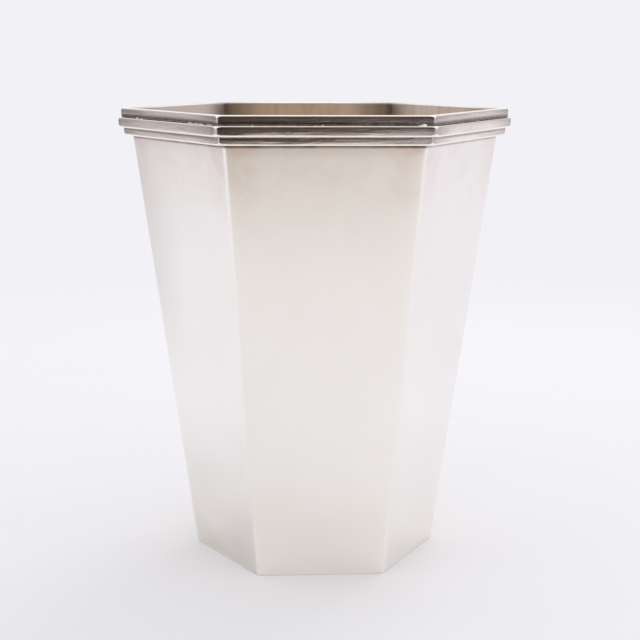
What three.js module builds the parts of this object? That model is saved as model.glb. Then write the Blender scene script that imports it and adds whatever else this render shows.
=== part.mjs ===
// A six-sided tapered silver beaker with a stepped rim. Millimetres, +Z up.
// Six flat wall panels stand on a base sheet, mitred together at the upright corners, and three
// mitred mouldings step round the mouth. The origin is the centre of the base's underside, and the
// front panel faces -Y.

import * as THREE from "three";

// Driving dimensions of the body
const BEAKER_HEIGHT = 100; // underside of the base to the top of the rim
const BASE_ACROSS_FLATS = 47.7; // outside of the walls, carried down to the underside
const MOUTH_ACROSS_FLATS = 72.0; // outside of the walls, at the rim
const WALL_SHEET = 0.9; // thickness, square to the panel
const BASE_SHEET = 0.9;
const WALL_CORNER_RADIUS = 1.2; // softened upright corners
const LIP_RADIUS = 0.3; // softened inner edge of the mouth
const FOOT_RADIUS = 0.35; // softened lower edge of the base sheet
const SOLDER_GAP = 0.1; // room for the solder between two joined faces

// Driving dimensions of the rim mouldings. A height takes in the solder gap under the moulding, a
// projection is measured from the wall at mid-height, a tilt in degrees leans the face outwards, and a
// crown is the swell of the face between its edges.
const TOP_BAND_HEIGHT = 2.05;
const TOP_BAND_PROJECTION = 1.43;
const TOP_BAND_TILT = 1.9;
const TOP_BAND_CROWN = 0.04;
const TOP_BAND_CORNER_RADIUS = 0.6;
const MIDDLE_BAND_HEIGHT = 2.3;
const MIDDLE_BAND_PROJECTION = 2.31;
const MIDDLE_BAND_TILT = 3.5;
const MIDDLE_BAND_CROWN = 0.04;
const MIDDLE_BAND_CORNER_RADIUS = 1.1;
const LOWER_BAND_HEIGHT = 1.75;
const LOWER_BAND_PROJECTION = 1.43;
const LOWER_BAND_TILT = 4.8;
const LOWER_BAND_CROWN = 0.015;
const LOWER_BAND_CORNER_RADIUS = 0.6;
const UPPER_EDGE_RADIUS = 0.2; // crisp upper edges of the top and middle mouldings
const LOWER_EDGE_RADIUS = 0.32; // softer lower edges of the middle and lower mouldings

// Steps round a softened corner, seen from above, and round a softened edge
const CORNER_STEPS = 3;
const EDGE_STEPS = 3;

// The six sides, named as the beaker stands with its front panel towards the viewer
const SIDES = ["front", "front_right", "back_right", "back", "back_left", "front_left"];
const FRONT_ANGLE = -Math.PI / 2;
const SIDE_ANGLE = (2 * Math.PI) / SIDES.length;
const MITRE_ANGLE = SIDE_ANGLE / 2;
const WALL_SLOPE = (MOUTH_ACROSS_FLATS - BASE_ACROSS_FLATS) / 2 / BEAKER_HEIGHT;

// Silver finishes
const polishedSilver = { color: 0xd9d4cc, metalness: 1.0 };
const wallSilver = new THREE.MeshStandardMaterial({ ...polishedSilver, roughness: 0.32 });
const bandSilver = new THREE.MeshStandardMaterial({ ...polishedSilver, roughness: 0.2 });
const baseSilver = new THREE.MeshStandardMaterial({ ...polishedSilver, roughness: 0.4 });

// Distance of a wall's outer face from the beaker's axis at a height
function wallFace(z) {
  return BASE_ACROSS_FLATS / 2 + WALL_SLOPE * z;
}

// Level distance across a layer that lies along the sloping wall
function acrossWall(thickness) {
  return thickness * Math.hypot(1, WALL_SLOPE);
}

// Angles of an arc in equal steps, both ends included
function arcAngles(start, end, steps) {
  return Array.from({ length: steps + 1 }, (_, step) => start + ((end - start) * step) / steps);
}

// Point at a distance and angle from a centre
function polar(distance, angle, centre = new THREE.Vector2()) {
  return new THREE.Vector2(Math.cos(angle), Math.sin(angle)).multiplyScalar(distance).add(centre);
}

// Plan of one side, facing +X: the outer edge runs into half of each rounded corner, and the ends are
// cut along the mitres, half a solder gap short of them.
function sidePlan(inner, outer, cornerRadius) {
  const halfGap = SOLDER_GAP / 2;
  const innerEnd = inner * Math.tan(MITRE_ANGLE) - halfGap / Math.cos(MITRE_ANGLE);
  const arcEnd = MITRE_ANGLE - Math.asin(halfGap / cornerRadius);
  const arcCentre = (end) => polar((outer - cornerRadius) / Math.cos(MITRE_ANGLE), end * MITRE_ANGLE);
  const corner = (end, from, to) =>
    arcAngles(from, to, CORNER_STEPS).map((angle) => polar(cornerRadius, angle, arcCentre(end)));
  return [
    new THREE.Vector2(inner, -innerEnd),
    ...corner(-1, -arcEnd, 0),
    ...corner(1, 0, arcEnd),
    new THREE.Vector2(inner, innerEnd),
  ];
}

// Plan of the whole six-sided outline with rounded corners, one side facing +X
function hexagonPlan(outer, cornerRadius) {
  return SIDES.flatMap((_, side) => {
    const middle = MITRE_ANGLE + side * SIDE_ANGLE;
    const arcCentre = polar((outer - cornerRadius) / Math.cos(MITRE_ANGLE), middle);
    return arcAngles(middle - MITRE_ANGLE, middle + MITRE_ANGLE, 2 * CORNER_STEPS).map((angle) =>
      polar(cornerRadius, angle, arcCentre)
    );
  });
}

// Closed solid through plans stacked upwards, all with the same number of points
function loft(levels) {
  const ring = levels[0].plan.length;
  const corners = levels.flatMap(({ z, plan }) => plan.flatMap((point) => [point.x, point.y, z]));
  const faces = [];
  for (let level = 0; level < levels.length - 1; level += 1) {
    for (let point = 0; point < ring; point += 1) {
      const here = level * ring + point;
      const next = level * ring + ((point + 1) % ring);
      faces.push(here, next, next + ring, here, next + ring, here + ring);
    }
  }
  const topRing = (levels.length - 1) * ring;
  for (const [a, b, c] of THREE.ShapeUtils.triangulateShape(levels[0].plan, [])) {
    faces.push(a, c, b, topRing + a, topRing + b, topRing + c);
  }
  const geometry = new THREE.BufferGeometry();
  geometry.setAttribute("position", new THREE.Float32BufferAttribute(corners, 3));
  geometry.setIndex(faces);
  geometry.computeVertexNormals();
  return geometry;
}

// Rounded lower edge: height above the bottom and inset from the face, from the bottom upwards
function lowerEdge(radius) {
  return arcAngles(-Math.PI / 2, 0, EDGE_STEPS).map((angle) => ({
    rise: radius * (1 + Math.sin(angle)),
    inset: radius * (1 - Math.cos(angle)),
  }));
}

// Rounded upper edge: depth below the top and inset from the face, from the face to the top
function upperEdge(radius) {
  return lowerEdge(radius)
    .reverse()
    .map(({ rise, inset }) => ({ drop: rise, inset }));
}

// Base sheet: under the walls, with its edge filed flush with their slope
function baseSheet() {
  const radius = Math.min(FOOT_RADIUS, BASE_SHEET / 2);
  const edge = lowerEdge(radius).map(({ rise, inset }) => ({ z: rise, inset }));
  return loft(
    [...edge, { z: BASE_SHEET, inset: 0 }].map(({ z, inset }) => ({
      z,
      plan: hexagonPlan(wallFace(z) - inset, WALL_CORNER_RADIUS),
    }))
  );
}

// Wall panel: from the base sheet to the rim, with the lip softened inside
function wallPanel() {
  const radius = Math.min(LIP_RADIUS, WALL_SHEET / 2);
  const lip = upperEdge(radius).map(({ drop, inset }) => ({ z: BEAKER_HEIGHT - drop, inset }));
  return loft(
    [{ z: BASE_SHEET + SOLDER_GAP, inset: 0 }, ...lip].map(({ z, inset }) => ({
      z,
      plan: sidePlan(wallFace(z) - acrossWall(WALL_SHEET) + inset, wallFace(z), WALL_CORNER_RADIUS),
    }))
  );
}

// One length of a rim moulding: its back follows the wall, and its crowned face leans outwards. A long
// edge is softened where it has a radius, and stays square where it sits against a deeper neighbour.
function bandLength({ bottom, top, projection, tilt, crown, cornerRadius, radiusBelow, radiusAbove }) {
  const middle = (bottom + top) / 2;
  const halfHeight = (top - bottom) / 2;
  const fitted = (radius) => Math.min(radius, halfHeight / 2);
  const face = (z) =>
    wallFace(middle) +
    projection +
    (z - middle) * Math.tan(THREE.MathUtils.degToRad(tilt)) -
    crown * ((z - middle) / halfHeight) ** 2;
  const below = radiusBelow ? lowerEdge(fitted(radiusBelow)) : [{ rise: 0, inset: 0 }];
  const above = radiusAbove ? upperEdge(fitted(radiusAbove)) : [{ drop: 0, inset: 0 }];
  const outline = [
    ...below.map(({ rise, inset }) => ({ z: bottom + rise, inset })),
    { z: middle, inset: 0 },
    ...above.map(({ drop, inset }) => ({ z: top - drop, inset })),
  ];
  return loft(
    outline.map(({ z, inset }) => ({
      z,
      plan: sidePlan(wallFace(z) + acrossWall(SOLDER_GAP), face(z) - inset, cornerRadius),
    }))
  );
}

// The three mouldings, stacked downwards from the rim
const middleBandTop = BEAKER_HEIGHT - TOP_BAND_HEIGHT;
const lowerBandTop = middleBandTop - MIDDLE_BAND_HEIGHT;
const rimBands = {
  top_band: bandLength({
    bottom: middleBandTop + SOLDER_GAP,
    top: BEAKER_HEIGHT,
    projection: TOP_BAND_PROJECTION,
    tilt: TOP_BAND_TILT,
    crown: TOP_BAND_CROWN,
    cornerRadius: TOP_BAND_CORNER_RADIUS,
    radiusAbove: UPPER_EDGE_RADIUS,
  }),
  middle_band: bandLength({
    bottom: lowerBandTop + SOLDER_GAP,
    top: middleBandTop,
    projection: MIDDLE_BAND_PROJECTION,
    tilt: MIDDLE_BAND_TILT,
    crown: MIDDLE_BAND_CROWN,
    cornerRadius: MIDDLE_BAND_CORNER_RADIUS,
    radiusBelow: LOWER_EDGE_RADIUS,
    radiusAbove: UPPER_EDGE_RADIUS,
  }),
  lower_band: bandLength({
    bottom: lowerBandTop - LOWER_BAND_HEIGHT + SOLDER_GAP,
    top: lowerBandTop,
    projection: LOWER_BAND_PROJECTION,
    tilt: LOWER_BAND_TILT,
    crown: LOWER_BAND_CROWN,
    cornerRadius: LOWER_BAND_CORNER_RADIUS,
    radiusBelow: LOWER_EDGE_RADIUS,
  }),
};

// Named mesh in a group
function addPiece(group, name, geometry, material) {
  const piece = new THREE.Mesh(geometry, material);
  piece.name = name;
  group.add(piece);
}

// The beaker: the base sheet, and each side's panel and mouldings in a group turned to face outwards
const beaker = new THREE.Group();
beaker.rotation.z = FRONT_ANGLE;
addPiece(beaker, "base_plate", baseSheet(), baseSilver);
const panel = wallPanel();
SIDES.forEach((side, index) => {
  const sideGroup = new THREE.Group();
  sideGroup.rotation.z = index * SIDE_ANGLE;
  addPiece(sideGroup, `wall_${side}`, panel, wallSilver);
  for (const [band, geometry] of Object.entries(rimBands)) {
    addPiece(sideGroup, `${band}_${side}`, geometry, bandSilver);
  }
  beaker.add(sideGroup);
});

export default beaker;
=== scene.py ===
import math
import random
from collections import namedtuple

import bmesh
import bpy
import numpy as np
from mathutils import Matrix, Vector, noise


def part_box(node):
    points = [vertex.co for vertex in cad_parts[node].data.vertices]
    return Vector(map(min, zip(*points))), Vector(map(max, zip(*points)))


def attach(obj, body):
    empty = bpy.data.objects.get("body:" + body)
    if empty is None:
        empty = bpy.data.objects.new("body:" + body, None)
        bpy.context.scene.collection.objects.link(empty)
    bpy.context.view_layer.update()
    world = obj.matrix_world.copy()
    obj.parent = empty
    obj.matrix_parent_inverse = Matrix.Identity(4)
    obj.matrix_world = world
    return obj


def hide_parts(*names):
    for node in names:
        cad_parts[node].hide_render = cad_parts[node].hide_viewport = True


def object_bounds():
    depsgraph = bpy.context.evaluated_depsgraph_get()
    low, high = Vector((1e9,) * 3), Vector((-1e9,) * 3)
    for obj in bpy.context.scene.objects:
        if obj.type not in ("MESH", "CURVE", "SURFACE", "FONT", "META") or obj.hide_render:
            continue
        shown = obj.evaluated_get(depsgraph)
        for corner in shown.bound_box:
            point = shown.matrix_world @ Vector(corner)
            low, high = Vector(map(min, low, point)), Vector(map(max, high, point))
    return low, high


bl_info = {
    "name": "Hexagonal Silver Beaker",
    "version": (1, 0, 0),
    "blender": (4, 5, 0),
    "location": "View3D > Sidebar > Beaker",
    "description": "Dresses the solids of a six-sided silver beaker with finished pieces and a studio",
    "category": "Object",
}

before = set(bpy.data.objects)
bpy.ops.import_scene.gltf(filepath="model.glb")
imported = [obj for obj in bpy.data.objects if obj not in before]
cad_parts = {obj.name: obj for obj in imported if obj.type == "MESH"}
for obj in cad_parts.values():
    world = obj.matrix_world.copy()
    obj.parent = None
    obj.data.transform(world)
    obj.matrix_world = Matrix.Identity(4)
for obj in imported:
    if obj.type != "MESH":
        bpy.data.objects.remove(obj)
CAD_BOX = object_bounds()

BODY = "root"
MILLIMETRE = 0.001
MICRON = 0.001 * MILLIMETRE

# The six sides, in the order in which the solids go round from the front
SIDES = ("front", "front_right", "back_right", "back", "back_left", "front_left")
FRONT_ANGLE = -math.pi / 2
SIDE_ANGLE = math.tau / len(SIDES)
MITRE_ANGLE = SIDE_ANGLE / 2
MITRE_SLOPE = math.tan(MITRE_ANGLE)

# The mouldings from the lowest up, and whether their long edges are softened below and above. A square
# edge sits against a deeper neighbour.
SOFT_EDGES = {"lower_band": (True, False), "middle_band": (True, True), "top_band": (False, True)}
BANDS = tuple(SOFT_EDGES)

# Levels that the solids give to the rounding of one edge
EDGE_LEVELS = 4

# Width of the narrow facets that keep a sharp edge crisp
CRISP = 0.03 * MILLIMETRE

# Tarnish that spreads from the mitres, with painted shade in the corners inside: a dark core and a softer
# shoulder, as shares of half a side's width
CREASE_CORE = (0.03, 0.18)
CREASE_REACH = 0.62
CREASE_SHOULDER = 0.8

# Share of dark tarnish at the mitres: on the mouldings' faces and the lip, in the corners inside, where it
# holds painted shade too and grows between two depths below the mouth, and where the walls meet the base
END_TARNISH = 0.5
CORNER_TARNISH_AND_SHADE = (0.3, 0.87)
CORNER_DEPTHS = (45 * MILLIMETRE, 10 * MILLIMETRE)
FLOOR_TARNISH = 0.6

# Share of dark tarnish all along the joint between the walls and the base
FLOOR_JOINT = 0.4

# One level of a solid, and one point of a piece's cross-section. Distances are from the axis.
Level = namedtuple("Level", "height inner outer radius")
Point = namedtuple("Point", "face height radius wear seam crease buffed", defaults=(0.0, 0.0, 0.0, 0.0))

# How strongly each side is toned or shaded, from hardly at all to fully: pale straw all over, grey painted
# shade up from the foot where the panel reflects the floor's shadow, warm just above the foot, grey down
# its left flank, dark at the rim with a partly painted shadow under the lowest moulding, and warm inside
Toning = namedtuple("Toning", "straw foot hem flank rim inside")
SIDE_TONING = {
    "front": Toning(0.55, 0.0, 1.0, 0.0, 1.0, 1.0),
    "front_right": Toning(0.0, 0.33, 0.0, 0.0, 0.0, 1.0),
    "back_right": Toning(0.4, 0.6, 0.5, 0.3, 0.5, 1.0),
    "back": Toning(0.5, 0.5, 0.8, 0.0, 0.8, 1.0),
    "back_left": Toning(0.5, 0.7, 0.3, 0.4, 0.5, 0.45),
    "front_left": Toning(0.1, 1.0, 0.3, 1.0, 0.5, 1.0),
}


class BeakerShape(bpy.types.PropertyGroup):
    """Fineness of the meshes, and the small forms that the solids leave out"""

    corner_steps: bpy.props.IntProperty(
        name="Corner steps", description="Steps round half of a softened corner", default=7, min=2
    )
    edge_steps: bpy.props.IntProperty(
        name="Edge steps", description="Steps round a softened long edge", default=7, min=2
    )
    panel_columns: bpy.props.IntProperty(
        name="Columns", description="Columns of faces across one side", default=26, min=2
    )
    panel_rows: bpy.props.IntProperty(
        name="Rows", description="Rows of faces up one wall panel", default=26, min=2
    )
    corner_buffing: bpy.props.FloatProperty(
        name="Corner buffing",
        description="How far buffing has worn a panel down beside its upright corners",
        default=0.1 * MILLIMETRE,
        unit="LENGTH",
    )
    buffing_reach: bpy.props.FloatProperty(
        name="Buffing reach",
        description="Distance from a corner at which the buffing has mostly faded",
        default=1.0 * MILLIMETRE,
        unit="LENGTH",
    )
    inside_fillet: bpy.props.FloatProperty(
        name="Inside fillet",
        description="Radius of the solder in the upright corners inside",
        default=0.2 * MILLIMETRE,
        unit="LENGTH",
    )
    floor_fillet: bpy.props.FloatProperty(
        name="Floor fillet",
        description="Radius of the solder between the walls and the base inside",
        default=0.9 * MILLIMETRE,
        unit="LENGTH",
    )
    rim_bead: bpy.props.FloatProperty(
        name="Rim bead",
        description="Radius of the solder line under the lowest moulding",
        default=0.15 * MILLIMETRE,
        unit="LENGTH",
    )
    joint_recess: bpy.props.FloatProperty(
        name="Joint recess",
        description="How far the solder between two mouldings stays back from the shallower one's face",
        default=0.05 * MILLIMETRE,
        unit="LENGTH",
    )
    end_rounding: bpy.props.FloatProperty(
        name="End rounding",
        description="Extra wear of a moulding's long edges at its mitred ends",
        default=0.24 * MILLIMETRE,
        unit="LENGTH",
    )
    end_reach: bpy.props.FloatProperty(
        name="End reach",
        description="Length of a moulding over which its ends are worn",
        default=1.2 * MILLIMETRE,
        unit="LENGTH",
    )


class SilverFinish(bpy.types.PropertyGroup):
    """Colours and polish of the silver"""

    silver: bpy.props.FloatVectorProperty(
        name="Silver", description="Clean polished silver", subtype="COLOR", default=(0.972, 0.940, 0.902)
    )
    panel: bpy.props.FloatVectorProperty(
        name="Panel", description="Clean satin silver", subtype="COLOR", default=(0.968, 0.944, 0.918)
    )
    straw: bpy.props.FloatVectorProperty(
        name="Straw", description="Thinnest tarnish", subtype="COLOR", default=(0.985, 0.955, 0.875)
    )
    rose: bpy.props.FloatVectorProperty(
        name="Rose",
        description="Polished strip of the mouldings",
        subtype="COLOR",
        default=(0.985, 0.90, 0.852),
    )
    arris: bpy.props.FloatVectorProperty(
        name="Arris", description="Bare silver on worn edges", subtype="COLOR", default=(1.0, 0.955, 0.905)
    )
    blush: bpy.props.FloatVectorProperty(
        name="Blush", description="Thin rosy tarnish", subtype="COLOR", default=(0.80, 0.615, 0.585)
    )
    tarnish: bpy.props.FloatVectorProperty(
        name="Tarnish", description="Thin warm tarnish", subtype="COLOR", default=(0.70, 0.58, 0.45)
    )
    inside: bpy.props.FloatVectorProperty(
        name="Inside", description="Toned silver inside", subtype="COLOR", default=(0.83, 0.70, 0.595)
    )
    # Dark tarnish, also used to paint shade in the joints, under the lowest moulding and in the corners
    # inside
    dark_tarnish_and_shade: bpy.props.FloatVectorProperty(
        name="Joint tarnish",
        description="Dark tarnish in the joints",
        subtype="COLOR",
        default=(0.085, 0.068, 0.058),
    )
    # Also the grey-brown of the painted shade up from the foot, and of the grey down the left flank
    solder: bpy.props.FloatVectorProperty(
        name="Solder", description="Toned hard solder", subtype="COLOR", default=(0.36, 0.31, 0.26)
    )
    polish: bpy.props.FloatVectorProperty(
        name="Dried polish",
        description="Crumbs of polish in the joint",
        subtype="COLOR",
        default=(0.90, 0.89, 0.87),
    )
    wall_roughness: bpy.props.FloatProperty(
        name="Wall roughness", description="Satin polish of the panels", subtype="FACTOR", default=0.30
    )
    rim_roughness: bpy.props.FloatProperty(
        name="Rim roughness", description="Bright polish of the mouldings", subtype="FACTOR", default=0.14
    )
    inside_roughness: bpy.props.FloatProperty(
        name="Inside roughness", description="Worn polish inside", subtype="FACTOR", default=0.33
    )
    base_roughness: bpy.props.FloatProperty(
        name="Base roughness", description="Rubbed polish of the base", subtype="FACTOR", default=0.37
    )


class StudioStage(bpy.types.PropertyGroup):
    """Floor, light, surround and camera"""

    floor: bpy.props.FloatVectorProperty(
        name="Floor", description="Pale floor and backdrop", subtype="COLOR", default=(0.887, 0.879, 0.921)
    )
    # Painted light: warm light that the silver throws on the floor near it
    bounce: bpy.props.FloatVectorProperty(
        name="Bounce",
        description="Floor warmed by the silver",
        subtype="COLOR",
        default=(0.893, 0.879, 0.898),
    )
    sky_level: bpy.props.FloatProperty(
        name="Sky level", description="Even light from all round", default=0.935
    )
    overhead: bpy.props.FloatVectorProperty(
        name="Overhead",
        description="Soft light above, as the metal shows it",
        subtype="COLOR",
        default=(1.08, 1.07, 1.05),
    )
    lamp_power: bpy.props.FloatProperty(
        name="Lamp power", description="Soft lamp on the right", unit="POWER", default=1.1
    )
    lamp_size: bpy.props.FloatProperty(
        name="Lamp size", description="Side of the square lamp", unit="LENGTH", default=0.36
    )
    lamp_place: bpy.props.FloatVectorProperty(
        name="Lamp place",
        description="Where the lamp hangs",
        subtype="TRANSLATION",
        default=(0.33, 0.52, 0.7),
    )
    # Tones of the glowing surround: painted light and shade of the studio that only the metal reflects
    pale: bpy.props.FloatVectorProperty(
        name="Pale surround",
        description="Paper round the beaker",
        subtype="COLOR",
        default=(0.88, 0.87, 0.91),
    )
    horizon: bpy.props.FloatVectorProperty(
        name="Horizon",
        description="Shaded paper above the floor's edge",
        subtype="COLOR",
        default=(0.47, 0.435, 0.44),
    )
    shade: bpy.props.FloatVectorProperty(
        name="Front shade",
        description="Floor shaded by the viewer",
        subtype="COLOR",
        default=(0.86, 0.792, 0.722),
    )
    # Painted shade on the viewer's side, which the surround shows in the metal
    flag: bpy.props.FloatVectorProperty(
        name="Flag",
        description="Dark cloth round the viewer",
        subtype="COLOR",
        default=(0.076, 0.060, 0.049),
    )
    strip: bpy.props.FloatVectorProperty(
        name="Strip light",
        description="Bright paper low behind",
        subtype="COLOR",
        default=(1.0, 0.985, 0.97),
    )
    card: bpy.props.FloatVectorProperty(
        name="Warm card",
        description="Warm wall above the viewer",
        subtype="COLOR",
        default=(0.365, 0.255, 0.155),
    )
    camera_place: bpy.props.FloatVectorProperty(
        name="Camera place",
        description="Where the camera stands",
        subtype="TRANSLATION",
        default=(-0.017646, -0.319616, 0.112586),
    )
    camera_heading: bpy.props.FloatProperty(
        name="Heading",
        description="Turn from straight ahead",
        subtype="ANGLE",
        default=math.radians(-3.345),
    )
    camera_pitch: bpy.props.FloatProperty(
        name="Pitch", description="Tilt below level", subtype="ANGLE", default=math.radians(10.693)
    )
    camera_roll: bpy.props.FloatProperty(
        name="Roll", description="Lean of the camera", subtype="ANGLE", default=math.radians(0.213)
    )
    camera_lens: bpy.props.FloatProperty(
        name="Lens", description="Focal length on a 36 mm wide sensor", unit="CAMERA", default=80.366
    )


# Reading the solids


def side_turn(index):
    """Turn that carries a side facing +X to its place round the axis."""
    return FRONT_ANGLE + index * SIDE_ANGLE


def side_levels(node):
    """Levels of a solid at the front to a micron, lowest first, with the front turned to +X."""
    turn_back = Matrix.Rotation(-side_turn(0), 3, "Z")
    corners = np.array([turn_back @ vertex.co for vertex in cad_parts[node].data.vertices])
    levels = []
    for height in np.unique(corners[:, 2].round(6)):
        ring = corners[np.abs(corners[:, 2] - height) < 2 * MICRON]
        inner = ring[:, 0].min()
        outer = ring[:, 0].max()
        straight_end = ring[ring[:, 0] > outer - 0.5 * MICRON][:, 1].max()
        levels.append(Level(height, inner, outer, outer - straight_end / MITRE_SLOPE))
    return levels


def wall_face(height):
    """Distance of the walls' outer face from the axis."""
    levels = side_levels("wall_front")
    low, high = levels[0], levels[-1]
    slope = (high.outer - low.outer) / (high.height - low.height)
    return low.outer + slope * (height - low.height)


def rim_foot():
    """Height of the lowest moulding's underside."""
    return side_levels(f"{BANDS[0]}_front")[0].height


# Meshes


def smooth_step(value, low, high):
    """Smooth rise from 0 to 1 as a value goes from low to high."""
    share = np.clip((value - low) / (high - low), 0.0, 1.0)
    return share * share * (3 - 2 * share)


def unit(vectors):
    """Vectors scaled to a length of one."""
    return vectors / np.linalg.norm(vectors, axis=-1, keepdims=True)


def arc_points(centre, radius, start, end, steps):
    """Points of an arc in a cross-section, angles in degrees from straight outwards."""
    angles = np.radians(np.linspace(start, end, steps + 1))
    return [
        (centre[0] + radius * math.cos(angle), centre[1] + radius * math.sin(angle)) for angle in angles
    ]


def side_path(point, shape):
    """Points along one side at a distance from the axis, mitre to mitre, and the angle that each one faces.

    The points lie closer together near the ends, where a buffed side falls away before its softened corner.
    """
    fall = math.atan2(point.buffed, shape.buffing_reach)
    arc = np.linspace(fall, MITRE_ANGLE, shape.corner_steps + 1)
    arc_out = point.face - point.buffed + point.radius * (np.cos(arc) - math.cos(fall))
    arc_along = point.radius * (np.sin(arc) - np.sin(MITRE_ANGLE)) + arc_out[-1] * MITRE_SLOPE
    along = arc_along[0] * np.sin(np.linspace(-math.pi / 2, math.pi / 2, shape.panel_columns + 1))[1:-1]
    faded = np.exp((np.abs(along) - arc_along[0]) / shape.buffing_reach)
    tilt = np.sign(along) * np.arctan(faded * math.tan(fall))
    outwards = np.concatenate([arc_out[::-1], point.face - point.buffed * faded, arc_out])
    sideways = np.concatenate([-arc_along[::-1], along, arc_along])
    return outwards, sideways, np.concatenate([-arc[::-1], tilt, arc])


def section_normals(section):
    """Outward directions of a closed cross-section that is drawn anticlockwise."""
    step = unit(np.roll(section, -1, axis=0) - section)
    facing = np.stack([step[:, 1], -step[:, 0]], axis=1)
    return unit(facing + np.roll(facing, 1, axis=0))


def lofted_side(section, shape, plate=False):
    """Corners of a cross-section carried along one side that faces +X, their directions and their wear."""
    paths = np.array([side_path(point, shape) for point in section])
    x, y, facing = paths[:, 0], paths[:, 1], paths[:, 2]
    heights = np.array([point.height for point in section])[:, None]
    corners = np.stack([x, y, np.broadcast_to(heights, x.shape)], axis=-1)
    outline = section_normals(np.array([(point.face, point.height) for point in section]))
    if plate:
        outline[0] = (0, -1)
        outline[-1] = (0, 1)
    lean = np.cos(facing) + MITRE_SLOPE * np.abs(np.sin(facing))
    out = outline[:, :1]
    ways = np.stack([out * np.cos(facing), out * np.sin(facing), outline[:, 1:] * lean], axis=-1)
    edges = np.array([point.wear for point in section])[:, None]
    return corners, unit(ways), np.maximum(edges, np.abs(facing) / MITRE_ANGLE)


def grid_faces(rows, columns, wrap_rows, wrap_columns):
    """Four-sided faces of a grid of corners, joined round on itself where asked."""
    faces = []
    for row in range(rows if wrap_rows else rows - 1):
        here = row * columns
        above = (row + 1) % rows * columns
        for column in range(columns if wrap_columns else columns - 1):
            beside = (column + 1) % columns
            faces.append((here + column, here + beside, above + beside, above + column))
    return faces


def add_object(name, data):
    """New object in the scene."""
    added = bpy.data.objects.new(name, data)
    bpy.context.scene.collection.objects.link(added)
    return added


def worked_mesh(name, work):
    """Mesh of a finished bmesh."""
    mesh = bpy.data.meshes.new(name)
    work.to_mesh(mesh)
    work.free()
    return mesh


def new_piece(name, corners, faces, turn, finishes, normals):
    """Object of a smooth mesh whose own axes are turned round the beaker's axis."""
    mesh = bpy.data.meshes.new(name)
    mesh.from_pydata(corners.reshape(-1, 3).tolist(), [], faces)
    mesh.polygons.foreach_set("use_smooth", [True] * len(mesh.polygons))
    for finish in finishes:
        mesh.materials.append(finish)
    mesh.normals_split_custom_set_from_vertices(normals.reshape(-1, 3).tolist())
    piece = add_object(name, mesh)
    piece.rotation_euler.z = turn
    return piece


def paint(piece, name, values):
    """Gives each corner of a piece a number that its finish reads."""
    attribute = piece.data.attributes.new(name, "FLOAT", "POINT")
    attribute.data.foreach_set("value", np.asarray(values, np.float32).ravel())


def paint_toning(piece, rows, tonings):
    """Paints how strongly each side of a piece is toned."""
    columns = len(piece.data.vertices) // (rows * len(tonings))
    for name in Toning._fields:
        values = [getattr(toning, name) for toning in tonings]
        paint(piece, name, np.tile(np.repeat(values, columns), rows))


def side_piece(name, side, section, finishes, slots=None, worn=None):
    """Closed piece of one side: its cross-section carried from mitre to mitre, or to worn ends."""
    shape = bpy.context.scene.beaker_shape
    corners, normals, wear = lofted_side(section, shape)
    rows, columns = corners.shape[:2]
    from_middle = np.abs(corners[0, :, 1])
    half = from_middle.max()
    to_mitre = half - from_middle
    if worn:
        worn_corners, worn_normals, _ = lofted_side(worn, shape)
        share = (1 - smooth_step(to_mitre, 0, shape.end_reach))[:, None]
        corners = corners + (worn_corners - corners) * share
        normals = unit(normals + (worn_normals - normals) * share)
    faces = grid_faces(rows, columns, True, False)
    faces.append(tuple(row * columns for row in range(rows)))
    faces.append(tuple(row * columns + columns - 1 for row in reversed(range(rows))))
    piece = new_piece(name, corners, faces, side_turn(SIDES.index(side)), finishes, normals)
    if slots:
        numbers = np.repeat(slots, columns - 1).tolist()
        piece.data.polygons.foreach_set("material_index", numbers + [0, 0])
    core = 1 - smooth_step(to_mitre / half, *CREASE_CORE)
    shoulder = CREASE_SHOULDER * (1 - smooth_step(to_mitre / half, 0, CREASE_REACH))
    crease = np.maximum(core, shoulder)
    paint(piece, "wear", wear)
    paint(piece, "seam", [np.maximum(point.seam, point.crease * crease) for point in section])
    paint_toning(piece, rows, [SIDE_TONING[side]])
    return piece


def ring_piece(name, section, finishes, slots=None, plate=False):
    """Closed piece right round the beaker: a ring of its cross-section, or a plate with no hole."""
    shape = bpy.context.scene.beaker_shape
    corners, normals, wear = lofted_side(section, shape, plate)
    turns = [np.array(Matrix.Rotation(index * SIDE_ANGLE, 3, "Z")) for index in range(len(SIDES))]
    corners = np.concatenate([corners[:, :-1] @ turn.T for turn in turns], axis=1)
    normals = np.concatenate([normals[:, :-1] @ turn.T for turn in turns], axis=1)
    rows, columns = corners.shape[:2]
    faces = grid_faces(rows, columns, not plate, True)
    if plate:
        faces.append(tuple(reversed(range(columns))))
        faces.append(tuple(range((rows - 1) * columns, rows * columns)))
    piece = new_piece(name, corners, faces, FRONT_ANGLE, finishes, normals)
    if slots:
        numbers = np.repeat(slots, columns).tolist()
        piece.data.polygons.foreach_set("material_index", numbers + [slots[0], slots[-1]])
    paint(piece, "wear", np.tile(wear[:, :-1], len(SIDES)))
    paint(piece, "seam", np.repeat([point.seam for point in section], columns))
    paint_toning(piece, rows, [SIDE_TONING[side] for side in SIDES])
    return piece


def settle(piece, slot, *nodes):
    """Puts a finished piece on the beaker's body in place of the solids that it stands for."""
    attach(piece, BODY)
    if nodes:
        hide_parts(*nodes)


# Finishes


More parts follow.
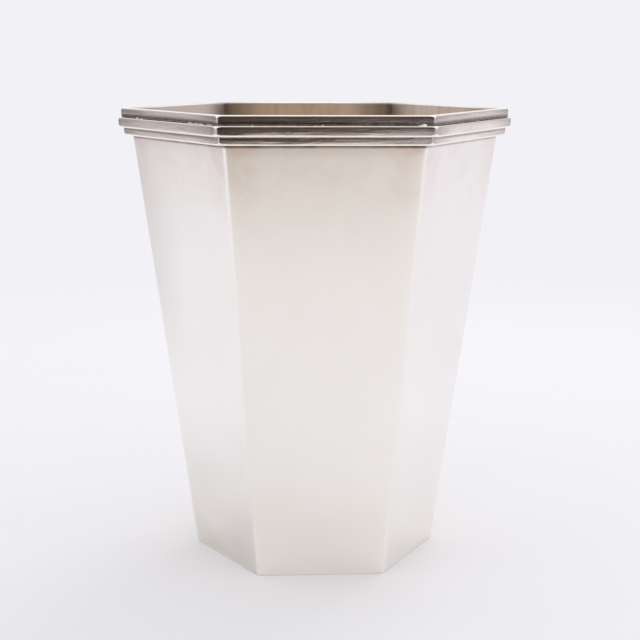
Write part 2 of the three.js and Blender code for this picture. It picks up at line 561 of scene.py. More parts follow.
class Recipe:
    """Node tree of a material or of the world, filled a step at a time."""

    def __init__(self, owner):
        self.owner = owner
        owner.use_nodes = True
        self.tree = owner.node_tree
        self.tree.nodes.clear()

    def add(self, kind, inputs, **settings):
        """New node with its settings, each input given by name or number as a value or a link."""
        node = self.tree.nodes.new(kind)
        for setting, value in settings.items():
            setattr(node, setting, value)
        for key, value in inputs.items():
            if isinstance(value, bpy.types.NodeSocket):
                self.tree.links.new(value, node.inputs[key])
            else:
                node.inputs[key].default_value = value
        return node

    def place(self):
        """Point on the piece in its side's own axes: outwards, along the side and up."""
        return self.add("ShaderNodeTexCoord", {}).outputs["Object"]

    def chance(self):
        """Number that differs from piece to piece."""
        info = self.add("ShaderNodeObjectInfo", {})
        return self.maths("MULTIPLY", info.outputs["Random"], 40.0)

    def painted(self, name):
        """Number painted on the piece's corners."""
        return self.add("ShaderNodeAttribute", {}, attribute_name=name).outputs["Fac"]

    def maths(self, operation, first, second=0.0, third=0.0, clamp=False):
        """One sum of up to three numbers."""
        inputs = {0: first, 1: second, 2: third}
        return self.add("ShaderNodeMath", inputs, operation=operation, use_clamp=clamp).outputs[0]

    def times(self, *values):
        """Product of several numbers."""
        product = values[0]
        for value in values[1:]:
            product = self.maths("MULTIPLY", product, value)
        return product

    def highest(self, *values):
        """Greatest of several numbers."""
        highest = values[0]
        for value in values[1:]:
            highest = self.maths("MAXIMUM", highest, value)
        return highest

    def split(self, vector):
        """The three parts of a vector."""
        return self.add("ShaderNodeSeparateXYZ", {0: vector}).outputs

    def stretch(self, vector, scale, turn=(0.0, 0.0, 0.0)):
        """Vector turned and scaled along each axis."""
        inputs = {"Vector": vector, "Rotation": turn, "Scale": scale}
        return self.add("ShaderNodeMapping", inputs).outputs[0]

    def cloud(self, vector, scale, detail=3.0, roughness=0.5, distortion=0.0, chance=0.0):
        """Noise from 0 to 1, its scale in lumps to a metre."""
        inputs = {
            "Vector": vector,
            "W": chance,
            "Scale": scale,
            "Detail": detail,
            "Roughness": roughness,
            "Distortion": distortion,
        }
        return self.add("ShaderNodeTexNoise", inputs, noise_dimensions="4D").outputs["Fac"]

    def rise(self, value, low, high, start=0.0, end=1.0):
        """Smooth step from start to end as a value goes from low to high."""
        inputs = {0: value, 1: low, 2: high, 3: start, 4: end}
        return self.add("ShaderNodeMapRange", inputs, interpolation_type="SMOOTHSTEP").outputs[0]

    def blend(self, share, first, second):
        """Two colours mixed by a share."""
        inputs = {0: share, 6: self.colour(first), 7: self.colour(second)}
        return self.add("ShaderNodeMix", inputs, data_type="RGBA").outputs[2]

    @staticmethod
    def colour(value):
        """A link as it is, or a colour with its alpha."""
        return value if isinstance(value, bpy.types.NodeSocket) else (*value, 1.0)

    def relief(self, height, depth, below=None):
        """Bumps of a depth in metres, on top of coarser ones."""
        inputs = {"Height": height, "Distance": depth, "Strength": 1.0}
        if below is not None:
            inputs["Normal"] = below
        return self.add("ShaderNodeBump", inputs).outputs[0]

    def finish(self, colour, roughness, normal, metallic=1.0):
        """Closes the tree with the surface."""
        inputs = {"Base Color": colour, "Roughness": roughness, "Metallic": metallic, "Normal": normal}
        surface = self.add("ShaderNodeBsdfPrincipled", inputs)
        self.add("ShaderNodeOutputMaterial", {"Surface": surface.outputs[0]})
        return self.owner

    def seen_directly(self):
        """One where the backdrop shows: to the camera, in metal and through glass."""
        rays = self.add("ShaderNodeLightPath", {}).outputs
        return self.highest(rays["Is Camera Ray"], rays["Is Glossy Ray"], rays["Is Transmission Ray"])


def new_recipe(name):
    """Recipe of a new material."""
    return Recipe(bpy.data.materials.new(name))


def shared(maker):
    """Finish that is made once and then used again."""
    return bpy.data.materials.get(maker.__name__) or maker()


def satin_silver():
    """Outside of the panels: satin polish, warm tarnish under the rim and just above the foot, painted
    shade up from the foot and under the lowest moulding, fine hairlines.
    """
    finish = bpy.context.scene.silver_finish
    recipe = new_recipe("satin_silver")
    place = recipe.place()
    chance = recipe.chance()
    _, along, up = recipe.split(place)
    rim = rim_foot()

    def below_rim(low, high, start=0.0, end=1.0):
        """Smooth step between two depths in millimetres below the rim's underside."""
        return recipe.rise(up, rim - low * MILLIMETRE, rim - high * MILLIMETRE, start, end)

    mottle = recipe.cloud(place, 60, 4, 0.55, 0.3, chance)
    patches = recipe.cloud(place, 150, 5, 0.6, 0.8, chance)
    patchy = recipe.rise(patches, 0.42, 0.66)
    rubbed = recipe.maths("SUBTRACT", 1.0, recipe.painted("wear"), clamp=True)
    aside = recipe.rise(recipe.maths("ABSOLUTE", along), 10 * MILLIMETRE, 19.5 * MILLIMETRE)
    overall = recipe.times(recipe.rise(mottle, 0.3, 0.75), 0.06)
    upper = recipe.times(below_rim(28, -0.5), recipe.maths("MULTIPLY_ADD", patchy, 0.12, 0.06))
    corner = recipe.times(aside, below_rim(18, -0.5), recipe.rise(patches, 0.35, 0.62, 0.55, 1.0), 0.48)
    close = recipe.times(below_rim(3.5, 0.2), recipe.painted("rim"), 0.42)
    toned = recipe.times(recipe.maths("ADD", upper, recipe.maths("ADD", corner, close)), rubbed)
    # Painted shade: grey up from the foot, where the panels reflect the floor's shadow; rubbed corners stay
    # bright
    low = recipe.rise(up, 42 * MILLIMETRE, -6 * MILLIMETRE)
    foot = recipe.times(low, recipe.rise(mottle, 0.3, 0.7, 0.7, 1.0), recipe.painted("foot"), rubbed, 0.32)
    lowest = recipe.rise(up, 26 * MILLIMETRE, 10 * MILLIMETRE)
    hem = recipe.times(lowest, recipe.painted("hem"), rubbed, 0.1)
    beside = recipe.times(below_rim(64, 18), below_rim(-1, 14, 0.2, 1.0))
    left = recipe.rise(along, 0.0, -20 * MILLIMETRE)
    flank = recipe.times(left, beside, recipe.painted("flank"), 0.23)
    # Dark line under the lowest moulding: dark tarnish with a painted shadow in the gap under it, strongest
    # on the front
    beaded = recipe.maths("MULTIPLY_ADD", recipe.painted("rim"), 0.4, 0.6)
    tarnish_and_shadow_under_bead = recipe.times(beaded, below_rim(0.8, 0.2), recipe.rise(patches, 0.3, 0.6, 0.7, 1.0))
    colour = recipe.blend(recipe.painted("straw"), finish.panel, finish.straw)
    colour = recipe.blend(overall, colour, finish.tarnish)
    warm = recipe.blend(recipe.painted("straw"), finish.blush, finish.tarnish)
    colour = recipe.blend(toned, colour, warm)
    colour = recipe.blend(hem, colour, finish.tarnish)
    # Painted shade up from the foot, and grey down the left flank, in the solder's grey-brown
    colour = recipe.blend(recipe.highest(foot, flank), colour, finish.solder)
    # Painted shadow and dark tarnish under the lowest moulding
    colour = recipe.blend(tarnish_and_shadow_under_bead, colour, finish.dark_tarnish_and_shade)
    roughness = recipe.maths("MULTIPLY_ADD", mottle, 0.03, finish.wall_roughness - 0.015)
    lines = recipe.stretch(place, (1.0, 0.06, 1.0), (0.25, 0.0, 0.0))
    hairlines = recipe.cloud(lines, 5200, 2, 0.5, 0.0, chance)
    dents = recipe.cloud(place, 45, 1, 0.4, 0.0, chance)
    normal = recipe.relief(dents, 30 * MICRON)
    normal = recipe.relief(hairlines, 0.4 * MICRON, normal)
    return recipe.finish(colour, roughness, normal)


def toned_inside():
    """Inside of the panels: warm toned silver with upright runs, and dark corners of tarnish and painted
    shade.
    """
    finish = bpy.context.scene.silver_finish
    recipe = new_recipe("toned_inside")
    place = recipe.place()
    chance = recipe.chance()
    rim = rim_foot()
    runs = recipe.cloud(recipe.stretch(place, (1.0, 1.0, 0.06)), 360, 4, 0.6, 0.4, chance)
    mottle = recipe.cloud(place, 90, 4, 0.5, 0.3, chance)
    colour = recipe.blend(recipe.rise(runs, 0.42, 0.62, 0.0, 0.8), finish.inside, finish.tarnish)
    colour = recipe.blend(recipe.rise(mottle, 0.45, 0.75, 0.0, 0.35), colour, finish.silver)
    upper = recipe.rise(recipe.split(place)[2], rim - 39 * MILLIMETRE, rim, 0.2, 1.0)
    colour = recipe.blend(recipe.times(recipe.painted("inside"), upper), finish.silver, colour)
    # Dark joints and corners inside: tarnish, with painted shade in the upright corners
    colour = recipe.blend(recipe.painted("seam"), colour, finish.dark_tarnish_and_shade)
    roughness = recipe.maths("MULTIPLY_ADD", runs, 0.08, finish.inside_roughness - 0.04)
    rubbed = recipe.cloud(recipe.stretch(place, (1.0, 1.0, 0.05)), 4200, 2, 0.5, 0.0, chance)
    dents = recipe.cloud(place, 60, 1, 0.4, 0.0, chance)
    normal = recipe.relief(dents, 40 * MICRON)
    normal = recipe.relief(rubbed, 0.6 * MICRON, normal)
    return recipe.finish(colour, roughness, normal)


def polished_rim():
    """Mouldings: bright polish with worn edges, dark joints with painted shade beside them, drawn streaks
    and fine pits.
    """
    finish = bpy.context.scene.silver_finish
    recipe = new_recipe("polished_rim")
    place = recipe.place()
    chance = recipe.chance()
    wear = recipe.painted("wear")
    face = recipe.maths("SUBTRACT", 1.0, wear, clamp=True)
    streaks = recipe.cloud(recipe.stretch(place, (1.0, 0.03, 1.0)), 2300, 3, 0.6, 0.2, chance)
    drifts = recipe.cloud(recipe.stretch(place, (1.0, 0.14, 1.0)), 620, 3, 0.55, 0.5, chance)
    specks = recipe.cloud(recipe.stretch(place, (1.0, 0.4, 1.0)), 2600, 3, 0.6, 0.3, chance)
    toning = recipe.times(face, recipe.rise(drifts, 0.40, 0.68, 0.04, 0.32))
    drawn = recipe.rise(streaks, 0.50, 0.68, 0.0, 0.45)
    pitted = recipe.rise(specks, 0.57, 0.70, 0.0, 0.26)
    strength = recipe.maths("MULTIPLY_ADD", recipe.painted("rim"), 0.6, 0.4)
    marks = recipe.times(face, recipe.highest(drawn, pitted), strength)
    # Dark joints: tarnish, with painted shade and reflection on the faces beside the middle moulding
    joint = recipe.times(recipe.painted("seam"), recipe.rise(specks, 0.25, 0.6, 0.75, 1.0))
    colour = recipe.blend(wear, finish.rose, finish.arris)
    colour = recipe.blend(toning, colour, finish.tarnish)
    colour = recipe.blend(marks, colour, finish.dark_tarnish_and_shade)
    colour = recipe.blend(joint, colour, finish.dark_tarnish_and_shade)
    roughness = recipe.maths("MULTIPLY_ADD", drifts, 0.08, finish.rim_roughness - 0.04)
    normal = recipe.relief(drifts, 50 * MICRON)
    normal = recipe.relief(streaks, 17 * MICRON, normal)
    return recipe.finish(colour, roughness, normal)


def rubbed_base():
    """Base sheet: rubbed dull under the foot by standing and sliding."""
    finish = bpy.context.scene.silver_finish
    recipe = new_recipe("rubbed_base")
    place = recipe.place()
    mottle = recipe.cloud(place, 110, 4, 0.55, 0.4, 2.0)
    scratches = [
        recipe.cloud(recipe.stretch(place, (1.0, 0.035, 1.0), (0.0, 0.0, turn)), 2600, 2, 0.5, 0.05, turn)
        for turn in (0.4, 1.7, 2.6)
    ]
    scuffs = recipe.highest(*scratches)
    colour = recipe.blend(recipe.rise(mottle, 0.35, 0.7, 0.05, 0.35), finish.silver, finish.tarnish)
    colour = recipe.blend(recipe.rise(scuffs, 0.62, 0.78, 0.0, 0.35), colour, finish.silver)
    roughness = recipe.maths("MULTIPLY_ADD", scuffs, 0.14, finish.base_roughness - 0.07)
    normal = recipe.relief(mottle, 30 * MICRON)
    normal = recipe.relief(scuffs, 4 * MICRON, normal)
    return recipe.finish(colour, roughness, normal)


def toned_solder():
    """Solder lines: dull grey-brown with pits."""
    finish = bpy.context.scene.silver_finish
    recipe = new_recipe("toned_solder")
    lumps = recipe.cloud(recipe.place(), 900, 4, 0.6, 0.5, 3.0)
    colour = recipe.blend(recipe.rise(lumps, 0.35, 0.65), finish.solder, finish.dark_tarnish_and_shade)
    roughness = recipe.rise(lumps, 0.3, 0.7, 0.32, 0.55)
    return recipe.finish(colour, roughness, recipe.relief(lumps, 40 * MICRON))


def dried_polish():
    """Crumbs of polish: chalky, with a fine grain."""
    finish = bpy.context.scene.silver_finish
    recipe = new_recipe("dried_polish")
    grain = recipe.cloud(recipe.place(), 6000, 4, 0.6, 0.2, 1.0)
    colour = recipe.blend(recipe.rise(grain, 0.4, 0.8, 0.0, 0.5), finish.polish, finish.silver)
    roughness = recipe.rise(grain, 0.3, 0.7, 0.8, 0.95)
    return recipe.finish(colour, roughness, recipe.relief(grain, 40 * MICRON), metallic=0.0)


# Cross-sections


def joint_tarnish(band, share):
    """Darkening on a moulding's face at a share of its height, beside the middle moulding: tarnish with a
    painted reflection of the dark ledge on the top moulding, painted shade under the middle moulding's
    overhang on the lower one.
    """
    if band == "top_band":
        return 1 - smooth_step(share, 0.14, 0.62)
    if band == "lower_band":
        return 0.7 * smooth_step(share, 0.5, 0.95)
    return 0.0


def band_section(band, shape, more_rounding=0.0):
    """Cross-section of a moulding, from the wall along its underside, round its face and back."""
    levels = side_levels(f"{band}_front")
    soft_below, soft_above = SOFT_EDGES[band]
    lower = levels[EDGE_LEVELS - 1 if soft_below else 0]
    middle = levels[EDGE_LEVELS if soft_below else 1]
    upper = levels[-EDGE_LEVELS if soft_above else -1]
    bottom = levels[0].height
    top = levels[-1].height
    marks = (lower, middle, upper)
    crown = np.polyfit([mark.height - middle.height for mark in marks], [mark.outer for mark in marks], 2)
    wall_radius = side_levels("wall_front")[0].radius
    buffing = shape.corner_buffing
    radius = middle.radius

    def face(height):
        return np.polyval(crown, height - middle.height)

    if soft_below:
        edge = lower.height - bottom + more_rounding
        below = arc_points((face(bottom + edge) - edge, bottom + edge), edge, -90, 0, shape.edge_steps)
    else:
        below = [(face(bottom) - CRISP, bottom), (face(bottom), bottom + CRISP)]
    if soft_above:
        edge = top - upper.height + more_rounding
        above = arc_points((face(top - edge) - edge, top - edge), edge, 0, 90, shape.edge_steps)
    else:
        above = [(face(top), top - CRISP), (face(top) - CRISP, top)]
    heights = np.linspace(below[-1][1], above[0][1], 2 * shape.edge_steps + 1)[1:-1]
    shares = (heights - bottom) / (top - bottom)
    under_back = wall_face(bottom)
    over_back = wall_face(top)
    ledge = above[-1][0]
    # The middle moulding carries the top one, and its ledge is tarnished from that joint. Other tops are
    # worn bright.
    carries = band == "middle_band"
    joint = side_levels("top_band_front")[0].outer if carries else over_back + 2 * CRISP
    joint_seam = 1.0 if carries else 0.2
    ledge_wear = 0.3 if carries else 0.9
    section = [
        Point(under_back, bottom, wall_radius, seam=1.0, buffed=buffing),
        Point(under_back + CRISP, bottom, wall_radius, seam=1.0, buffed=buffing),
        Point(0.5 * (under_back + below[0][0]), bottom, radius, seam=0.6),
        Point(below[0][0] - CRISP, bottom, radius),
    ]
    section += [Point(x, z, radius, wear=float(soft_below)) for x, z in below]
    section += [
        Point(face(height), height, radius, seam=joint_tarnish(band, share), crease=END_TARNISH)
        for height, share in zip(heights, shares)
    ]
    section += [Point(x, z, radius, wear=float(soft_above)) for x, z in above]
    section += [
        Point(ledge - CRISP, top, radius, wear=0.5 + 0.5 * ledge_wear),
        Point(0.5 * (ledge + joint), top, radius, wear=ledge_wear, seam=0.6 * joint_seam),
        Point(joint, top, radius, seam=joint_seam),
        Point(over_back + CRISP, top, wall_radius, seam=joint_seam, buffed=buffing),
        Point(over_back, top, wall_radius, seam=joint_seam, buffed=buffing),
    ]
    return section


def wall_section(shape):
    """Cross-section of a panel, up its outside, over the lip and down inside, and each row's finish."""
    levels = side_levels("wall_front")
    low, lip, top = levels[0], levels[-EDGE_LEVELS], levels[-1]
    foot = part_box("base_plate")[1].z
    lip_radius = top.height - lip.height
    slope = (lip.inner - low.inner) / (lip.height - low.height)
    corner = low.radius
    hollow = shape.inside_fillet
    fillet = shape.floor_fillet

    def inner(height):
        return low.inner + slope * (height - low.height)

    def corner_tarnish(height):
        least, most = CORNER_TARNISH_AND_SHADE
        deep, shallow = CORNER_DEPTHS
        return least + (most - least) * smooth_step(height, top.height - deep, top.height - shallow)

    outside = [foot, foot + CRISP, *np.linspace(foot, top.height, shape.panel_rows + 1)[1:]]
    inside = [lip.height - lip_radius, *np.linspace(lip.height, foot + fillet, shape.panel_rows + 1)[1:]]
    outer_faces = [(wall_face(height), height) for height in outside]
    outer_faces += [(wall_face(top.height) - CRISP, top.height)]
    section = [Point(face, height, corner, buffed=shape.corner_buffing) for face, height in outer_faces]
    outer_rows = len(section)
    edge = arc_points((lip.inner + lip_radius, lip.height), lip_radius, 90, 180, shape.edge_steps)
    section += [Point(x, z, hollow, wear=1.0, crease=END_TARNISH) for x, z in edge]
    # Painted shade with tarnish in the upright corners inside
    section += [Point(inner(height), height, hollow, crease=corner_tarnish(height)) for height in inside]
    bend = arc_points((inner(foot + fillet) - fillet, foot + fillet), fillet, 0, -80, shape.edge_steps)
    section += [Point(x, z, hollow, seam=FLOOR_JOINT, crease=FLOOR_TARNISH) for x, z in bend[1:]]
    section += [Point(wall_face(foot) - CRISP, foot, corner, buffed=shape.corner_buffing)]
    inner_rows = len(section) - outer_rows - shape.edge_steps
    slots = [0] * outer_rows + [2] * shape.edge_steps + [1] * inner_rows
    return section, slots


# Operators


class BEAKER_OT_wall_panels(bpy.types.Operator):
    """Six tapered wall panels with softened corners, a rounded lip and solder inside"""

    bl_idname = "beaker.wall_panels"
    bl_label = "Wall Panels"

    def execute(self, context):
        finishes = [shared(satin_silver), shared(toned_inside), shared(polished_rim)]
        section, slots = wall_section(context.scene.beaker_shape)
        for side in SIDES:
            piece = side_piece(f"panel_{side}", side, section, finishes, slots)
            settle(piece, "silver_wall", f"wall_{side}")
        return {"FINISHED"}


class BEAKER_OT_base_sheet(bpy.types.Operator):
    """Base sheet with its filed edge and rubbed underside"""

    bl_idname = "beaker.base_sheet"
    bl_label = "Base Sheet"

    # Rings of corners across each flat face and the innermost one's share of the whole, and the rows of
    # corners up the filed edge and the wear of its rounding
    RINGS = 9
    INNERMOST = 0.1
    EDGE_ROWS = 4
    EDGE_WEAR = 0.6

    def execute(self, context):
        shape = context.scene.beaker_shape
        levels = side_levels("base_plate")
        bottom, foot, top = levels[0], levels[EDGE_LEVELS - 1], levels[-1]
        edge = foot.height - bottom.height
        corner = top.radius
        buffing = shape.corner_buffing
        rings = np.linspace(self.INNERMOST, 1.0, self.RINGS)

        def flat(outer, height, shares):
            return [
                Point(share * outer, height, share * corner, buffed=share * buffing) for share in shares
            ]

        under = flat(bottom.outer, bottom.height, rings[:-1])
        rounding = arc_points((foot.outer - edge, foot.height), edge, -90, 0, shape.edge_steps)
        filed = np.linspace(foot.height + CRISP, top.height - CRISP, self.EDGE_ROWS)
        filed_edge = [Point(x, z, corner, wear=self.EDGE_WEAR, buffed=buffing) for x, z in rounding]
        filed_edge += [Point(wall_face(z), z, corner, buffed=buffing) for z in (*filed, top.height)]
        over = flat(wall_face(top.height) - CRISP, top.height, rings[::-1])
        slots = [0] * len(under) + [1] * len(filed_edge) + [2] * (len(over) - 1)
        finishes = [shared(rubbed_base), shared(satin_silver), shared(toned_inside)]
        piece = ring_piece("base_sheet", [*under, *filed_edge, *over], finishes, slots, plate=True)
        settle(piece, "silver_base", "base_plate")
        return {"FINISHED"}


class BEAKER_OT_rim_mouldings(bpy.types.Operator):
    """Three stepped mouldings round the rim, mitred at the corners and worn at their ends"""

    bl_idname = "beaker.rim_mouldings"
    bl_label = "Rim Mouldings"

    def execute(self, context):
        shape = context.scene.beaker_shape
        finish = shared(polished_rim)
        for band in BANDS:
            section = band_section(band, shape)
            worn = band_section(band, shape, shape.end_rounding)
            for side in SIDES:
                name = f"{band.replace('band', 'moulding')}_{side}"
                piece = side_piece(name, side, section, [finish], worn=worn)
                settle(piece, "silver_rim", f"{band}_{side}")
        return {"FINISHED"}


class BEAKER_OT_solder_lines(bpy.types.Operator):
    """Solder in the joints between the mouldings and under the lowest one"""

    bl_idname = "beaker.solder_lines"
    bl_label = "Solder Lines"

    BEAD_STEPS = 10
    CORNER_RADIUS = 0.6 * MILLIMETRE

    def execute(self, context):
        shape = context.scene.beaker_shape
        lowest = rim_foot()
        bead = arc_points((wall_face(lowest), lowest), shape.rim_bead, -180, 180, self.BEAD_STEPS)
        self.run_solder(BANDS[0], bead[:-1])
        for below, band in zip(BANDS, BANDS[1:]):
            under = side_levels(f"{below}_front")[-1]
            over = side_levels(f"{band}_front")[0]
            faces = [band_section(name, shape) for name in (below, band)]
            edge = min(max(point.face for point in section) for section in faces) - shape.joint_recess
            low = (wall_face(under.height), under.height)
            high = (wall_face(over.height), over.height)
            hollow = (edge - 0.5 * shape.joint_recess, 0.5 * (under.height + over.height))
            self.run_solder(band, [low, (edge, under.height), hollow, (edge, over.height), high])
        return {"FINISHED"}

    def run_solder(self, band, outline):
        """Ring of solder under a moulding."""
        section = [Point(x, z, self.CORNER_RADIUS) for x, z in outline]
        settle(ring_piece(f"solder_under_{band}", section, [shared(toned_solder)]), "silver_rim")


class BEAKER_OT_polish_crumbs(bpy.types.Operator):
    """Crumbs of dried polish in the joint under the top moulding"""

    bl_idname = "beaker.polish_crumbs"
    bl_label = "Polish Crumbs"

    # Side, middle of a run of crumbs, half its length, number of crumbs and their size, in millimetres
    RUNS = (
        ("front", 19.3, 0.12, 2, 0.3),
        ("front", 18.75, 0.3, 3, 0.19),
        ("front", -14.6, 0.1, 1, 0.13),
        ("front", 3.0, 9.0, 3, 0.09),
        ("front_left", -12.2, 1.4, 6, 0.17),
        ("front_left", 11.6, 2.0, 8, 0.15),
        ("front_left", 15.0, 0.9, 5, 0.14),
        ("front_left", 18.6, 0.7, 3, 0.15),
        ("front_right", -6.0, 8.0, 3, 0.09),
        ("back", 4.0, 12.0, 6, 0.13),
        ("back_left", -3.0, 10.0, 6, 0.14),
        ("back_right", 6.0, 9.0, 5, 0.13),
    )
    SEED = 5

    # Spread of the crumbs' sizes, and a crumb's shape and place in shares of its own size: its length and
    # thickness, how far its middle is out from the joint and up from the ledge, and how fine and how deep
    # its lumps are
    SIZES = (0.6, 1.1)
    LENGTHS = (1.1, 2.0)
    THICKNESS = 0.8
    OUT = 0.4
    UP = 0.35
    LUMP_FINENESS = 1.9
    LUMP_DEPTH = 0.9

    def execute(self, context):
        ledge = side_levels("middle_band_front")[-1].height
        back = side_levels("top_band_front")[0].outer
        draw = random.Random(self.SEED)
        work = bmesh.new()
        for side, middle, half, count, size in self.RUNS:
            turn = Matrix.Rotation(side_turn(SIDES.index(side)), 3, "Z")
            for number in range(count):
                along = (middle + half * draw.uniform(-1, 1)) * MILLIMETRE
                radius = size * draw.uniform(*self.SIZES) * MILLIMETRE
                stretch = Vector((self.THICKNESS, draw.uniform(*self.LENGTHS), self.THICKNESS))
                offset = Vector((number, middle, draw.uniform(0, 9)))
                centre = Vector((back + self.OUT * radius, along, ledge + self.UP * radius))
                for vertex in bmesh.ops.create_icosphere(work, subdivisions=3, radius=1.0)["verts"]:
                    lump = noise.noise(vertex.co * self.LUMP_FINENESS + offset) * self.LUMP_DEPTH + 1.0
                    vertex.co = turn @ (vertex.co * stretch * lump * radius + centre)
        mesh = worked_mesh("polish_crumbs", work)
        mesh.polygons.foreach_set("use_smooth", [True] * len(mesh.polygons))
        mesh.materials.append(shared(dried_polish))
        settle(add_object("polish_crumbs", mesh), "silver_rim")
        return {"FINISHED"}


class BEAKER_OT_studio_stage(bpy.types.Operator):
    """Pale floor, a glowing surround of painted studio light and shade that only the metal shows, soft
    light and the camera
    """

    bl_idname = "beaker.studio_stage"
    bl_label = "Studio Stage"

    # The floor: its radius and darkest grain, how far the painted warm light from the silver reaches on it,
    # and how it fades into the backdrop, from a small share of it near the beaker
    FLOOR_RADIUS = 6.0
    FLOOR_SEGMENTS = 96
    FLOOR_GRAIN = 0.985
    BOUNCE_REACH = (0.062, 0.03)
    BACKDROP_REACH = (0.16, 0.44)
    BACKDROP_NEAR = 0.12

    # The surround runs out just above the floor from its start to its reach, curving up a little, and
    # then straight up to its top
    SURROUND_START = 0.15
    SURROUND_REACH = 0.38
    SURROUND_TOP = 0.45
    SURROUND_LIFT = 0.0004
    SURROUND_ROWS = 24
    SURROUND_COLUMNS = 180
    CURVE_START = 0.25
    CURVE_RISE = 0.012
    WALL_START = 0.018

    # Where the surround's tones change, in metres along it from the axis
    SHADE_START = (0.17, 0.33)
    FLAG_START = (0.325, 0.385)
    CARD_START = (0.49, 0.53)
    CARD_END = (0.64, 0.72)
    STRIP_START = (0.42, 0.46)
    HORIZON_START = 0.426
    HORIZON_SOFTNESS = 0.052
    HORIZON_END = (0.50, 0.68)
    HORIZON_SHARE = 0.92
    LOWER_ON_LEFT = 0.051

    # Where they change round it, in degrees to the right of the front. The viewer's side reaches less far
    # to the right along one stretch.
    SIDES_START = (70, 105)
    BACK_START = (140, 165)
    VIEWER_START = (-32, -12)
    VIEWER_END = 16
    VIEWER_SOFTNESS = 13
    NARROWED_BY = 13.5
    NARROW_START = (0.32, 0.35)
    NARROW_END = (0.410, 0.436)

    # How steeply a ray looks up before it meets the light overhead
    OVERHEAD_START = (0.55, 0.9)

    SENSOR_WIDTH = 36.0
    NEAREST_SEEN = 0.01

    def execute(self, context):
        stage = context.scene.studio_stage
        self.make_floor(stage)
        self.make_surround(stage)
        self.light_scene(context, stage)
        self.place_camera(context, stage)
        return {"FINISHED"}

    def make_floor(self, stage):
        """Wide pale floor that fades into the backdrop behind the beaker, with painted warm light from the
        silver near it.
        """
        recipe = new_recipe("pale_floor")
        place = recipe.place()
        far = recipe.add("ShaderNodeVectorMath", {0: place}, operation="LENGTH").outputs["Value"]
        shade = [self.FLOOR_GRAIN * part for part in stage.floor]
        grainy = recipe.blend(recipe.cloud(place, 30, 2, 0.5), shade, stage.floor)
        painted_bounce = recipe.blend(recipe.rise(far, *self.BOUNCE_REACH), grainy, stage.bounce)
        lit = recipe.add("ShaderNodeBsdfDiffuse", {"Color": painted_bounce})
        plain = recipe.add("ShaderNodeEmission", {"Color": (*stage.floor, 1.0), "Strength": 1.0})
        faded = recipe.rise(far, *self.BACKDROP_REACH, self.BACKDROP_NEAR, 1.0)
        share = recipe.times(faded, recipe.seen_directly())
        mixed = recipe.add("ShaderNodeMixShader", {0: share, 1: lit.outputs[0], 2: plain.outputs[0]})
        recipe.add("ShaderNodeOutputMaterial", {"Surface": mixed.outputs[0]})
        work = bmesh.new()
        bmesh.ops.create_circle(
            work, cap_ends=True, cap_tris=True, segments=self.FLOOR_SEGMENTS, radius=self.FLOOR_RADIUS
        )
        mesh = worked_mesh("floor", work)
        mesh.materials.append(recipe.owner)
        floor = add_object("floor", mesh)

    def surround_tone(self, stage, bearing, along):
        """Tone of the surround at a bearing in degrees and a distance along it."""

        def mix(first, second, share):
            return first + (np.array(second) - first) * share

        pale = np.array(stage.pale)
        turn = (bearing + 180) % 360 - 180
        left = 0.5 - 0.5 * math.sin(math.radians(turn))
        start = self.HORIZON_START - self.LOWER_ON_LEFT * left
        dip = smooth_step(along, start, start + self.HORIZON_SOFTNESS)
        dip *= 1 - smooth_step(along, *self.HORIZON_END)
        back = smooth_step(abs(turn), *self.BACK_START)
        beside = smooth_step(abs(turn), *self.SIDES_START) * (1 - back)
        around = mix(pale, stage.horizon, self.HORIZON_SHARE * dip * beside)
        around = mix(around, stage.strip, back * smooth_step(along, *self.STRIP_START))
        ahead = mix(pale, stage.shade, smooth_step(along, *self.SHADE_START))
        ahead = mix(ahead, stage.flag, smooth_step(along, *self.FLAG_START))
        ahead = mix(ahead, stage.card, smooth_step(along, *self.CARD_START))
        ahead = mix(ahead, pale, smooth_step(along, *self.CARD_END))
        narrow = smooth_step(along, *self.NARROW_START) * (1 - smooth_step(along, *self.NARROW_END))
        end = self.VIEWER_END - self.NARROWED_BY * narrow
        facing = smooth_step(turn, *self.VIEWER_START)
        facing *= 1 - smooth_step(turn, end, end + self.VIEWER_SOFTNESS)
        return mix(around, ahead, facing)

    def make_surround(self, stage):
        """Glowing bowl round the beaker, no lamp: painted light and shade of the studio, which only
        reflections show.
        """
        rows = self.SURROUND_ROWS
        columns = self.SURROUND_COLUMNS
        rise = np.concatenate([np.zeros(rows), np.linspace(self.WALL_START, self.SURROUND_TOP, rows)])
        flat = np.linspace(self.SURROUND_START, self.SURROUND_REACH, rows)
        reach = np.concatenate([flat, np.full(rows, self.SURROUND_REACH)])
        curve = np.clip((reach - self.CURVE_START) / (self.SURROUND_REACH - self.CURVE_START), 0, 1) ** 3
        height = self.SURROUND_LIFT + self.CURVE_RISE * curve + rise
        corners = []
        tones = []
        for row in range(2 * rows):
            for bearing in np.arange(columns) * 360 / columns:
                angle = math.radians(bearing)
                corners.append((reach[row] * math.sin(angle), -reach[row] * math.cos(angle), height[row]))
                tones.append((*self.surround_tone(stage, bearing, reach[row] + rise[row]), 1.0))
        mesh = bpy.data.meshes.new("studio_surround")
        mesh.from_pydata(corners, [], grid_faces(2 * rows, columns, False, True))
        mesh.color_attributes.new("tone", "FLOAT_COLOR", "POINT")
        mesh.color_attributes["tone"].data.foreach_set("color", np.array(tones, np.float32).ravel())
        recipe = new_recipe("studio_surround")
        tone = recipe.add("ShaderNodeAttribute", {}, attribute_name="tone").outputs["Color"]
        glow = recipe.add("ShaderNodeEmission", {"Color": tone, "Strength": 1.0})
        recipe.add("ShaderNodeOutputMaterial", {"Surface": glow.outputs[0]})
        mesh.materials.append(recipe.owner)
        surround = add_object("studio_surround", mesh)
        for rays in ("camera", "diffuse", "transmission", "volume_scatter", "shadow"):
            setattr(surround, f"visible_{rays}", False)

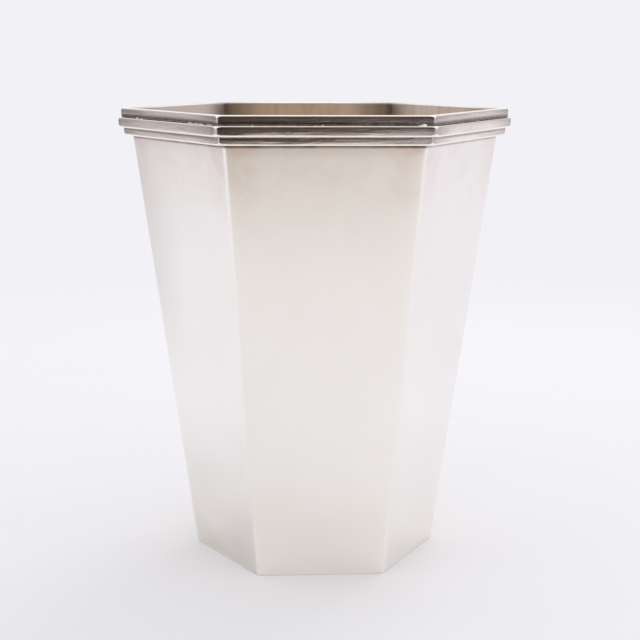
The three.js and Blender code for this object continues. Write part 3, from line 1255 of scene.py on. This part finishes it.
    def light_scene(self, context, stage):
        """Even light from all round and one soft lamp on the right."""
        world = bpy.data.worlds.new("studio")
        context.scene.world = world
        recipe = Recipe(world)
        way = recipe.add("ShaderNodeTexCoord", {}).outputs["Generated"]
        high = recipe.rise(recipe.split(way)[2], *self.OVERHEAD_START)
        shown = recipe.blend(high, stage.floor, stage.overhead)
        white = (1.0, 1.0, 1.0, 1.0)
        sky = recipe.add("ShaderNodeBackground", {"Color": white, "Strength": stage.sky_level})
        backdrop = recipe.add("ShaderNodeBackground", {"Color": shown, "Strength": 1.0})
        inputs = {0: recipe.seen_directly(), 1: sky.outputs[0], 2: backdrop.outputs[0]}
        either = recipe.add("ShaderNodeMixShader", inputs)
        recipe.add("ShaderNodeOutputWorld", {"Surface": either.outputs[0]})
        data = bpy.data.lights.new("soft_lamp", "AREA")
        data.energy = stage.lamp_power
        data.size = stage.lamp_size
        lamp = add_object("soft_lamp", data)
        lamp.location = stage.lamp_place
        middle = 0.5 * (CAD_BOX[0] + CAD_BOX[1])
        lamp.rotation_euler = (middle - lamp.location).to_track_quat("-Z", "Y").to_euler()
        lamp.visible_camera = False
        context.scene.view_settings.view_transform = "Standard"

    def place_camera(self, context, stage):
        """Camera at the photograph's place."""
        data = bpy.data.cameras.new("camera")
        data.lens = stage.camera_lens
        data.sensor_width = self.SENSOR_WIDTH
        data.clip_start = self.NEAREST_SEEN
        camera = add_object("camera", data)
        aim = Matrix.Rotation(stage.camera_heading, 4, "Z")
        tilt = Matrix.Rotation(math.pi / 2 - stage.camera_pitch, 4, "X")
        lean = Matrix.Rotation(stage.camera_roll, 4, "Z")
        camera.matrix_world = Matrix.Translation(Vector(stage.camera_place)) @ aim @ tilt @ lean
        context.scene.camera = camera


GROUPS = {"beaker_shape": BeakerShape, "silver_finish": SilverFinish, "studio_stage": StudioStage}
OPERATORS = (
    BEAKER_OT_wall_panels,
    BEAKER_OT_base_sheet,
    BEAKER_OT_rim_mouldings,
    BEAKER_OT_solder_lines,
    BEAKER_OT_polish_crumbs,
    BEAKER_OT_studio_stage,
)


class BEAKER_PT_pieces(bpy.types.Panel):
    """Pieces of the beaker, and the sizes and finishes that they are made with"""

    bl_label = "Silver Beaker"
    bl_space_type = "VIEW_3D"
    bl_region_type = "UI"
    bl_category = "Beaker"

    def draw(self, context):
        for operator in OPERATORS:
            self.layout.operator(operator.bl_idname)
        for name, group in GROUPS.items():
            box = self.layout.box()
            for key in group.__annotations__:
                box.prop(getattr(context.scene, name), key)


CLASSES = (*GROUPS.values(), *OPERATORS, BEAKER_PT_pieces)


def register():
    for item in CLASSES:
        bpy.utils.register_class(item)
    for name, group in GROUPS.items():
        setattr(bpy.types.Scene, name, bpy.props.PointerProperty(type=group))


def unregister():
    for name in GROUPS:
        delattr(bpy.types.Scene, name)
    for item in reversed(CLASSES):
        bpy.utils.unregister_class(item)


def main():
    register()
    bpy.ops.beaker.wall_panels()
    bpy.ops.beaker.base_sheet()
    bpy.ops.beaker.rim_mouldings()
    bpy.ops.beaker.solder_lines()
    bpy.ops.beaker.polish_crumbs()
    bpy.ops.beaker.studio_stage()


if __name__ == "__main__":
    main()
